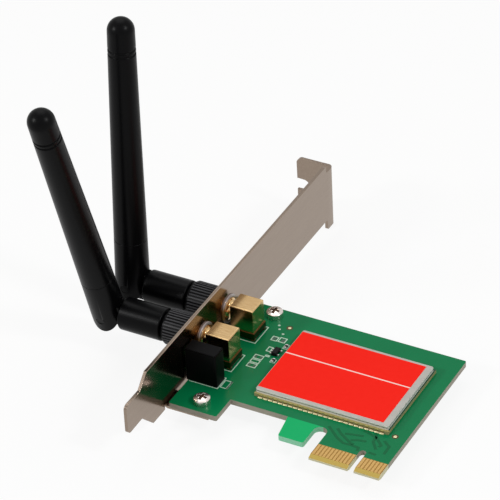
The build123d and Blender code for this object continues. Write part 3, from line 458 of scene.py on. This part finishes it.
def platedScrewSteel():
    # Nickel plated cold-formed screws: bright, a little uneven where the die pressed the head, with painted shade
    # darkening the recess
    finish = {
        "tones": ("#d9ccc5", "#f4ece7"), "recess": "#86705f", "uneven": 0.5,
        "metallic": 1.0, "roughness": (0.2, 0.32), "relief": 0.006,
    }
    material, tree, place = newMaterial("platedScrewSteel")
    uneven = addNode(tree, "ShaderNodeTexNoise", {"Scale": 1 / (finish["uneven"] * mm)}, {
        "Vector": place.outputs["Object"]})
    plate = addNode(tree, "ShaderNodeMix", {
        "data_type": "RGBA", 6: hexColour(finish["tones"][0]), 7: hexColour(finish["tones"][1])}, {
        0: uneven.outputs["Fac"]})
    # painted shade: the recess takes the dark recess tone
    paintedLightMask = addNode(tree, "ShaderNodeAttribute", {"attribute_name": "recessShade"})
    tone = addNode(tree, "ShaderNodeMix", {"data_type": "RGBA", 7: hexColour(finish["recess"])}, {
        0: paintedLightMask.outputs["Fac"], 6: plate.outputs[2]})
    dress(tree, tone.outputs[2], uneven.outputs["Fac"], finish)
    return material


def solderedGold():
    # Gold plate on the jacks: bright above, with painted shade darkening the foot next to the board
    finish = {
        "tones": ("#cba46c", "#e5c594"), "footShade": "#5f4826", "footTop": 3.46, "marks": (2.0, 0.35, 0.35),
        "metallic": 1.0, "roughness": (0.13, 0.22), "relief": 0.002,
    }
    material, tree, place = newMaterial("solderedGold")
    spot = addNode(tree, "ShaderNodeSeparateXYZ", {}, {0: place.outputs["Object"]})
    patch = addNode(tree, "ShaderNodeMapping", {"Scale": [1 / (size * mm) for size in finish["marks"]]}, {
        "Vector": place.outputs["Object"]})
    marks = addNode(tree, "ShaderNodeTexNoise", {"Scale": 1.0, "Detail": 3.0}, {"Vector": patch.outputs[0]})
    bright = addNode(tree, "ShaderNodeMix", {
        "data_type": "RGBA", 6: hexColour(finish["tones"][0]), 7: hexColour(finish["tones"][1])}, {
        0: marks.outputs["Fac"]})
    # painted shade: the foot below footTop takes the dark foot tone
    inFootShade = addNode(tree, "ShaderNodeMath", {"operation": "LESS_THAN", 1: finish["footTop"] * mm}, {
        0: spot.outputs[2]})
    tone = addNode(tree, "ShaderNodeMix", {"data_type": "RGBA", 7: hexColour(finish["footShade"])}, {
        0: inFootShade.outputs[0], 6: bright.outputs[2]})
    dress(tree, tone.outputs[2], marks.outputs["Fac"], finish)
    return material


def washerNickel():
    # Stamped nickel washer behind the neck: pale and cool at its top and bottom, with a painted reflection of the
    # gold neck across its middle
    finish = {
        "pale": "#c4bcbe", "neckReflection": "#8f6f3f", "height": 7.1, "neckReflectionTo": 1.5, "paleFrom": 3.0, "grain": 0.4,
        "metallic": 0.5, "roughness": (0.26, 0.38), "relief": 0.0015,
    }
    material, tree, place = newMaterial("washerNickel")
    spot = addNode(tree, "ShaderNodeSeparateXYZ", {}, {0: place.outputs["Object"]})
    level = addNode(tree, "ShaderNodeMath", {"operation": "SUBTRACT", 1: finish["height"] * mm}, {0: spot.outputs[2]})
    away = addNode(tree, "ShaderNodeMath", {"operation": "ABSOLUTE"}, {0: level.outputs[0]})
    # painted reflection: the gold neck's reflection painted across the washer's middle band
    share = addNode(tree, "ShaderNodeMapRange", {
        "From Min": finish["neckReflectionTo"] * mm, "From Max": finish["paleFrom"] * mm}, {"Value": away.outputs[0]})
    tone = addNode(tree, "ShaderNodeMix", {
        "data_type": "RGBA", 6: hexColour(finish["neckReflection"]), 7: hexColour(finish["pale"])}, {0: share.outputs[0]})
    grain = addNode(tree, "ShaderNodeTexNoise", {"Scale": 1 / (finish["grain"] * mm)}, {
        "Vector": place.outputs["Object"]})
    dress(tree, tone.outputs[2], grain.outputs["Fac"], finish)
    return material


def castellatedPad():
    # Half-holes plated on the module's edge, seen too small to model: straw lips above and below a brown hollow
    finish = {
        "lip": "#e3d8a2", "upperLip": "#c4b870", "hollow": "#8d5a31", "hollowFrom": 1.12, "hollowTo": 1.5,
        "mottle": 0.5, "metallic": 0.4, "roughness": (0.25, 0.45), "relief": 0.004, "bump": 0.5,
    }
    material, tree, place = newMaterial("castellatedPad")
    spot = addNode(tree, "ShaderNodeSeparateXYZ", {}, {0: place.outputs["Object"]})
    mottle = addNode(tree, "ShaderNodeTexNoise", {"Scale": 1 / (finish["mottle"] * mm)}, {
        "Vector": place.outputs["Object"]})
    above = addNode(tree, "ShaderNodeMath", {"operation": "GREATER_THAN", 1: finish["hollowFrom"] * mm}, {
        0: spot.outputs[2]})
    top = addNode(tree, "ShaderNodeMath", {"operation": "GREATER_THAN", 1: finish["hollowTo"] * mm}, {
        0: spot.outputs[2]})
    lower = addNode(tree, "ShaderNodeMix", {
        "data_type": "RGBA", 6: hexColour(finish["lip"]), 7: hexColour(finish["hollow"])}, {0: above.outputs[0]})
    tone = addNode(tree, "ShaderNodeMix", {"data_type": "RGBA", 7: hexColour(finish["upperLip"])}, {
        0: top.outputs[0], 6: lower.outputs[2]})
    dress(tree, tone.outputs[2], mottle.outputs["Fac"], finish)
    return material


materials = {name: grainFinish(name, finish) for name, finish in finishes.items()}
for make in (
    maskedLaminate, moduleLaminate, tinPlatedShield, printedRedFilm, ribbedThermoplastic, platedScrewSteel,
    solderedGold, washerNickel, castellatedPad,
):
    made = make()
    materials[made.name] = made

# What each node is made of; the jack and antenna nodes come once for the front and once for the rear
nodeFinish = {
    "circuit_board": "greenMaskedLaminate",
    "edge_contacts_top": "hardGoldContact",
    "edge_contacts_bottom": "hardGoldContact",
    "bracket": "nickelPlatedSteel",
    "board_screws": "platedScrewSteel",
    "lamp_housing": "blackNylon",
    "lower_lamp": "tintedLampResin",
    "upper_lamp": "tintedLampResin",
    "lamp_leads": "solderTin",
    "module_board": "moduleLaminate",
    "module_pads": "castellatedPad",
    "module_shield": "tinPlatedShield",
    "module_label": "printedRedFilm",
    "radio_chip": "mouldedEpoxy",
    "memory_chip": "mouldedEpoxy",
    "radio_crystal": "brushedKovar",
    "regulator_chip": "mouldedEpoxy",
    "regulator_leads": "solderTin",
    "tinned_pads": "oxidisedTin",
}
sideFinish = {
    "jack_body": "solderedGold",
    "jack_insulator": "turnedFluoropolymer",
    "jack_contact": "goldPlatedBrass",
    "jack_washer": "washerNickel",
    "jack_nut": "brightNickel",
    "coupling_nut": "ribbedThermoplastic",
    "antenna_base": "satinThermoplastic",
    "plug_insulator": "turnedFluoropolymer",
    "plug_contact": "goldPlatedBrass",
    "hinge_pin": "satinThermoplastic",
    "antenna_knuckle": "satinThermoplastic",
    "antenna_sheath": "satinThermoplastic",
    "radiator": "drawnBrass",
}
for side in ("front", "rear"):
    nodeFinish.update({f"{side}_{part}": finish for part, finish in sideFinish.items()})
for name, finish in nodeFinish.items():
    nodes[name].data.materials.clear()
    nodes[name].data.materials.append(materials[finish])
print("materials on", len(nodeFinish), "nodes")


def onlySelect(*pieces):
    bpy.ops.object.select_all(action="DESELECT")
    for piece in pieces:
        piece.select_set(True)
    bpy.context.view_layer.objects.active = pieces[0]


def closeUp(piece):
    # Merge what meets and turn all faces outwards
    onlySelect(piece)
    bpy.ops.object.mode_set(mode="EDIT")
    bpy.ops.mesh.select_all(action="SELECT")
    bpy.ops.mesh.remove_doubles(threshold=mergeWithin)
    bpy.ops.mesh.normals_make_consistent(inside=False)
    bpy.ops.object.mode_set(mode="OBJECT")


def joined(pieces):
    onlySelect(*pieces)
    if len(pieces) > 1:
        bpy.ops.object.join()
    return bpy.context.object


def finishPiece(piece, name, finish, body="card"):
    onlySelect(piece)
    bpy.ops.object.transform_apply(location=True, rotation=True, scale=True)
    bpy.ops.object.shade_smooth_by_angle(angle=smoothUpTo)
    piece.name = name
    piece.data.name = name
    piece.data.materials.clear()
    piece.data.materials.append(materials[finish])
    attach(piece, body)


# Twins of the CAD nodes with their sharp edges broken, as deburring, plating and moulding leave them
edges = {  # mm
    "bracket": 0.12,
    "board_screws": 0.12,
    "lamp_housing": 0.15,
    "regulator_chip": 0.06,
}
sideEdges = {
    "jack_body": 0.1,
    "jack_washer": 0.1,
    "jack_nut": 0.2,
    "coupling_nut": 0.07,
    "antenna_base": 0.15,
    "antenna_knuckle": 0.12,
    "antenna_sheath": 0.16,
}
straight = {"bracket": 2.0}  # mm, only the bracket's straight edges are broken
bodies = {"coupling_nut": "nut", "antenna_base": "base", "antenna_knuckle": "whip", "antenna_sheath": "whip"}


def edgedTwin(name, edge, body, shortest=0.0):
    # Edges up to the shortest length stay sharp
    twin = bpy.data.objects.new(name + "_edged", nodes[name].data.copy())
    bpy.context.collection.objects.link(twin)
    onlySelect(twin)
    bpy.ops.object.mode_set(mode="EDIT")
    bpy.ops.mesh.select_all(action="SELECT")
    bpy.ops.mesh.remove_doubles(threshold=mergeWithin)
    bpy.ops.mesh.dissolve_limited(angle_limit=radians(0.5))  # the CAD's triangles back to flat faces
    bpy.ops.mesh.select_mode(type="EDGE")
    bpy.ops.mesh.select_all(action="DESELECT")
    bpy.ops.mesh.edges_select_sharp(sharpness=smoothUpTo)
    bpy.ops.object.mode_set(mode="OBJECT")
    weights = twin.data.attributes.new("bevel_weight_edge", "FLOAT", "EDGE")
    for line, weight in zip(twin.data.edges, weights.data):
        start, end = (twin.data.vertices[i].co for i in line.vertices)
        weight.value = 1.0 if line.select and (end - start).length > shortest * mm else 0.0
    bpy.context.tool_settings.mesh_select_mode = (True, False, False)
    if twin.data.has_custom_normals:
        bpy.ops.mesh.customdata_custom_splitnormals_clear()
    bpy.ops.object.shade_smooth_by_angle(angle=smoothUpTo)
    rounding = twin.modifiers.new("brokenEdges", "BEVEL")
    rounding.limit_method = "WEIGHT"
    rounding.width = edge * mm
    rounding.segments = 2
    rounding.harden_normals = True
    rounding.use_clamp_overlap = False
    bpy.ops.object.modifier_apply(modifier=rounding.name)
    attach(twin, body)
    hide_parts(name)
    return twin


def markRibs(nut, row):
    # How far out each point of the ribbed nut lies: 0 in the grooves, 1 on the ribs; it sets the painted highlight
    # on the ribs and the painted shade in the grooves
    paintedLightMask = nut.data.attributes.new("ribLightShare", "FLOAT", "POINT")
    for corner, share in zip(nut.data.vertices, paintedLightMask.data):
        reach = hypot(corner.co.y / mm - row, corner.co.z / mm - jackHeight)
        share.value = min(max((reach - ribs["root"]) / (ribs["crest"] - ribs["root"]), 0), 1)


def markRecess(screws):
    # 1 on the floor and walls of the cross recess, 0 on the rest of the head: where painted shade darkens the screw
    paintedLightMask = screws.data.attributes.new("recessShade", "FLOAT", "POINT")
    for corner, share in zip(screws.data.vertices, paintedLightMask.data):
        spot = corner.co / mm
        reach = min(hypot(spot.x - x, spot.y - y) for x, y in recess["places"])
        share.value = 1.0 if reach < recess["reach"] and recess["floor"] < spot.z < recess["brim"] else 0.0


recess = {"places": [(-48.15, 8.3), (-48.15, 50.3)], "reach": 1.6, "floor": 0.9, "brim": 2.3}
ribs = {"root": 4.86, "crest": 5.04}  # mm from the nut's axis
jackRows = {"front": 27.06, "rear": 40.86}  # mm, Y of each jack's axis
jackHeight = 7.1  # mm, Z of both axes
for name, edge in edges.items():
    twin = edgedTwin(name, edge, "card", straight.get(name, 0.0))
    if name == "board_screws":
        markRecess(twin)
for side, row in jackRows.items():
    for part, edge in sideEdges.items():
        body = f"{side}_{bodies[part]}" if part in bodies else "card"
        twin = edgedTwin(f"{side}_{part}", edge, body)
        if part == "coupling_nut":
            markRibs(twin, row)
print("edges broken on", len(edges) + 2 * len(sideEdges), "pieces")

# Print and copper on the board's upper face; places in mm from the key notch
boardTop = 0.8


def drawLine(points, width, height):
    # One point drawn along the places, raised to a fence and thickened to the line's width
    bpy.ops.object.select_all(action="DESELECT")
    bpy.ops.mesh.primitive_plane_add(size=mm, location=(points[0][0] * mm, points[0][1] * mm, boardTop * mm))
    line = bpy.context.object
    bpy.ops.object.mode_set(mode="EDIT")
    bpy.ops.mesh.merge(type="CENTER")
    for (x, y), (nextX, nextY) in zip(points, points[1:]):
        step = ((nextX - x) * mm, (nextY - y) * mm, 0)
        bpy.ops.mesh.extrude_vertices_move(TRANSFORM_OT_translate={"value": step})
    bpy.ops.mesh.select_all(action="SELECT")
    bpy.ops.mesh.extrude_edges_move(TRANSFORM_OT_translate={"value": (0, 0, height * mm)})
    bpy.ops.object.mode_set(mode="OBJECT")
    thicken = line.modifiers.new("lineWidth", "SOLIDIFY")
    thicken.thickness = width * mm
    thicken.offset = 0
    thicken.use_even_offset = True
    bpy.ops.object.modifier_apply(modifier=thicken.name)
    return line


def drawFrame(corners, width, height):
    # A plane inset by the line's width, its middle taken out and the rim raised
    left, front, right, back = corners
    bpy.ops.object.select_all(action="DESELECT")
    bpy.ops.mesh.primitive_plane_add(size=1, location=(
        (left + right) / 2 * mm, (front + back) / 2 * mm, boardTop * mm))
    rim = bpy.context.object
    rim.scale = ((right - left) * mm, (back - front) * mm, 1)
    bpy.ops.object.transform_apply(location=False, rotation=False, scale=True)
    bpy.ops.object.mode_set(mode="EDIT")
    bpy.ops.mesh.inset(thickness=width * mm)
    bpy.ops.mesh.delete(type="FACE")
    bpy.ops.mesh.select_all(action="SELECT")
    bpy.ops.mesh.extrude_region_move(TRANSFORM_OT_translate={"value": (0, 0, height * mm)})
    bpy.ops.object.mode_set(mode="OBJECT")
    return rim


silk = {
    "height": 0.03,
    "lineWidth": 0.28,
    "frameWidth": 0.3,
    "lines": [
        [(-55.8, 15.08), (-47.22, 15.08), (-47.22, 20.1), (-49.0, 20.1)],
        [(-45.05, 15.95), (-45.05, 19.4)],
        [(-44.8, 15.95), (-44.8, 19.4)],
    ],
    "jackLine": [(-52.0, -3.91), (-47.3, -3.91), (-47.3, 3.99), (-48.5, 3.99)],  # Y from the jack's row
    "frames": [
        (-47.0, 15.92, -44.7, 19.4),
        (-44.35, 40.1, -42.4, 42.1), (-42.2, 40.2, -40.0, 42.4),
        (-45.0, 27.1, -42.2, 29.0), (-45.0, 29.2, -42.2, 30.8), (-45.0, 31.0, -42.2, 32.9),
        (-43.2, 35.2, -41.8, 37.4), (-42.3, 33.0, -41.0, 33.8),
        (-40.0, 31.2, -38.4, 32.9), (-39.6, 38.0, -38.2, 40.1),
    ],
}
drawn = [drawLine(points, silk["lineWidth"], silk["height"]) for points in silk["lines"]]
for row in jackRows.values():
    points = [(x, row + y) for x, y in silk["jackLine"]]
    drawn.append(drawLine(points, silk["lineWidth"], silk["height"]))
drawn += [drawFrame(corners, silk["frameWidth"], silk["height"]) for corners in silk["frames"]]
inkPrint = joined(drawn)
closeUp(inkPrint)
finishPiece(inkPrint, "silkPrint", "screenInk")

tracks = {
    "height": 0.015,
    "width": 0.8,
    "runs": [
        [(-12.9, 13.38), (-8.85, 10.03), (-6.43, 8.71), (-4.31, 8.77), (-1.92, 8.67), (-1.62, 7.29)],
        [(-10.45, 13.59), (-8.65, 11.97), (-4.68, 9.52), (-3.64, 9.39)],
        [(-7.69, 12.41), (-4.89, 13.09), (-2.74, 13.48)],
        [(-5.18, 10.51), (-3.27, 11.39), (-1.12, 11.78)],
        [(-3.73, 15.48), (-2.24, 15.24), (0.37, 14.31), (0.47, 12.52), (2.56, 9.84)],
        [(-0.49, 16.06), (0.93, 13.96), (3.1, 11.91), (2.71, 11.12)],
        [(3.04, 14.02), (5.24, 12.3), (5.3, 8.99)],
        [(1.31, 8.04), (3.53, 7.86)],
    ],
}
copper = joined([drawLine(points, tracks["width"], tracks["height"]) for points in tracks["runs"]])
closeUp(copper)
finishPiece(copper, "maskedTracks", "maskedCopper")
print("print and tracks drawn")


def copyTo(piece, places):
    # The first place takes the piece itself, the others a copy with its own mesh
    made = [piece]
    for _ in places[1:]:
        twin = bpy.data.objects.new(piece.name, piece.data.copy())
        bpy.context.collection.objects.link(twin)
        made.append(twin)
    for twin, place in zip(made, places):
        twin.location = [value * mm for value in place]
    whole = joined(made)
    bpy.ops.object.transform_apply(location=True, rotation=True, scale=True)
    return whole


def turnedDisc(radius, profile, sides=20):
    # A flat disc whose rim is drawn in along (radius, level) steps and closed by its last ring
    bpy.ops.object.select_all(action="DESELECT")
    bpy.ops.mesh.primitive_circle_add(vertices=sides, radius=radius * mm, fill_type="NGON")
    disc = bpy.context.object
    bpy.ops.object.mode_set(mode="EDIT")
    bpy.ops.mesh.select_all(action="SELECT")
    last, lastLevel = radius, 0
    for reach, level in profile:
        bpy.ops.mesh.extrude_region_move(TRANSFORM_OT_translate={"value": (0, 0, (level - lastLevel) * mm)})
        bpy.ops.transform.resize(value=(reach / last, reach / last, 1))
        last, lastLevel = reach, level
    bpy.ops.object.mode_set(mode="OBJECT")
    closeUp(disc)
    return disc


# Plated holes: a ring round a small dent, in the pale print ink
via = {"radius": 0.36, "profile": [(0.33, 0.03), (0.22, 0.035), (0.16, 0.01)],
       "places": [(-45.04, 46.91), (-44.15, 45.4), (-42.26, 43.83)]}
ring = turnedDisc(via["radius"], via["profile"])
vias = copyTo(ring, [(x, y, boardTop) for x, y in via["places"]])
finishPiece(vias, "platedHoles", "screenInk")

# Alignment marks: a tinned dot in a round clearing of the mask
mark = {
    "clearing": 0.9, "clearingProfile": [(0.86, 0.012)], "clearingSides": 32,
    "dot": 0.5, "dotProfile": [(0.47, 0.035), (0.4, 0.045)], "dotSides": 24,
    "places": [(-41.9, 47.02), (4.81, 16.79)],
}
markPlaces = [(x, y, boardTop) for x, y in mark["places"]]
clearings = copyTo(turnedDisc(mark["clearing"], mark["clearingProfile"], mark["clearingSides"]), markPlaces)
finishPiece(clearings, "markClearings", "bareLaminate")
dots = copyTo(turnedDisc(mark["dot"], mark["dotProfile"], mark["dotSides"]), markPlaces)
finishPiece(dots, "markDots", "paleGoldPad")

# Solder cones on the under face, round the jack legs, the jack pins and the lamp leads
solder = {
    "legs": {"radius": 0.95, "profile": [(0.8, -0.12), (0.66, -0.35), (0.58, -0.65), (0.55, -0.8)]},
    "pins": {"radius": 0.85, "profile": [(0.7, -0.12), (0.58, -0.35), (0.52, -0.65), (0.5, -0.8)]},
    "leads": {"radius": 0.8, "profile": [(0.66, -0.12), (0.5, -0.35), (0.4, -0.65), (0.37, -0.8)]},
    "legX": (-54.45, -48.3), "legY": (-2.9, 2.9), "pinX": -51.525,  # legs' Y from the jack's row
    "leadX": (-53.37, -50.83), "leadY": (16.33, 18.87),
}
under = {
    "legs": [(x, row + y, -boardTop) for row in jackRows.values() for x in solder["legX"] for y in solder["legY"]],
    "pins": [(solder["pinX"], row, -boardTop) for row in jackRows.values()],
    "leads": [(x, y, -boardTop) for x in solder["leadX"] for y in solder["leadY"]],
}
cones = []
for kind, places in under.items():
    cones.append(copyTo(turnedDisc(solder[kind]["radius"], solder[kind]["profile"]), places))
finishPiece(joined(cones), "underSolder", "solderTin")
print("vias, marks and solder made")

# Solder fillets between the module's edge pads and the board: a wedge with a hollow front
fillet = {
    "width": 1.3, "reach": 0.32, "height": 0.28, "toe": 0.05, "edge": 0.05, "pick": 0.1,
    "front": 16.48, "first": -34.95, "pitch": 1.5, "count": 25,
}
bpy.ops.object.select_all(action="DESELECT")
bpy.ops.mesh.primitive_cube_add(size=1)
wedge = bpy.context.object
wedge.scale = (fillet["width"] * mm, fillet["reach"] * mm, fillet["height"] * mm)
wedge.location = (0, -fillet["reach"] / 2 * mm, fillet["height"] / 2 * mm)
bpy.ops.object.transform_apply(location=True, rotation=True, scale=True)
for corner in wedge.data.vertices:
    corner.select = False
for edge in wedge.data.edges:
    ends = [wedge.data.vertices[i].co for i in edge.vertices]
    edge.select = all(end.z > fillet["pick"] * mm and end.y < -fillet["pick"] * mm for end in ends)
for face in wedge.data.polygons:
    face.select = False
bpy.ops.object.mode_set(mode="EDIT")
bpy.ops.mesh.select_mode(type="EDGE")
bpy.ops.transform.translate(value=(0, 0, (fillet["toe"] - fillet["height"]) * mm))
bpy.ops.mesh.select_all(action="SELECT")
bpy.ops.mesh.bevel(offset=fillet["edge"] * mm, segments=2, affect="EDGES")
bpy.ops.object.mode_set(mode="OBJECT")
closeUp(wedge)
padX = [fillet["first"] + i * fillet["pitch"] for i in range(fillet["count"])]
fillets = copyTo(wedge, [(x, fillet["front"], boardTop) for x in padX])
finishPiece(fillets, "moduleSolder", "paleGoldPad")

# Flare of each jack's neck where it seats on the washer
flare = {
    "start": -56.74, "radius": 3.14, "sides": 48,
    "profile": [(3.12, 0.2), (2.86, 0.38), (2.62, 0.62), (2.48, 0.95), (2.43, 1.3)],
}
for side, row in jackRows.items():
    cone = turnedDisc(flare["radius"], flare["profile"], flare["sides"])
    cone.rotation_euler = (0, radians(90), 0)
    cone.location = (flare["start"] * mm, row * mm, jackHeight * mm)
    finishPiece(cone, f"{side}NeckFlare", "goldPlatedBrass")

# Two-terminal chip parts beside the regulator: a dark ceramic bar with tinned caps
chipPart = {
    "length": 1.5, "width": 0.75, "height": 0.5, "cap": 0.32, "capEdge": 0.06,
    "barInset": 0.06, "barDrop": 0.04, "barEdge": 0.03,  # how much slimmer and lower the bar is than its caps
    "places": [(-38.85, 39.0), (-39.2, 32.05)],
}


def chipBar(length, width, height, at, edge):
    bpy.ops.object.select_all(action="DESELECT")
    bpy.ops.mesh.primitive_cube_add(size=1)
    bar = bpy.context.object
    bar.scale = (width * mm, length * mm, height * mm)
    bar.location = (0, at * mm, height / 2 * mm)
    bpy.ops.object.transform_apply(location=True, rotation=True, scale=True)
    bpy.ops.object.mode_set(mode="EDIT")
    bpy.ops.mesh.select_all(action="SELECT")
    bpy.ops.mesh.bevel(offset=edge * mm, segments=2, affect="EDGES")
    bpy.ops.object.mode_set(mode="OBJECT")
    return bar


places = [(x, y, boardTop) for x, y in chipPart["places"]]
barLength = chipPart["length"] - chipPart["cap"]
barWidth, barHeight = chipPart["width"] - chipPart["barInset"], chipPart["height"] - chipPart["barDrop"]
bars = copyTo(chipBar(barLength, barWidth, barHeight, 0, chipPart["barEdge"]), places)
finishPiece(bars, "chipBars", "mouldedEpoxy")
caps = joined([
    chipBar(chipPart["cap"], chipPart["width"], chipPart["height"], at, chipPart["capEdge"])
    for at in (-barLength / 2, barLength / 2)
])
finishPiece(copyTo(caps, places), "chipCaps", "solderTin")
print("fillets and chip parts made")
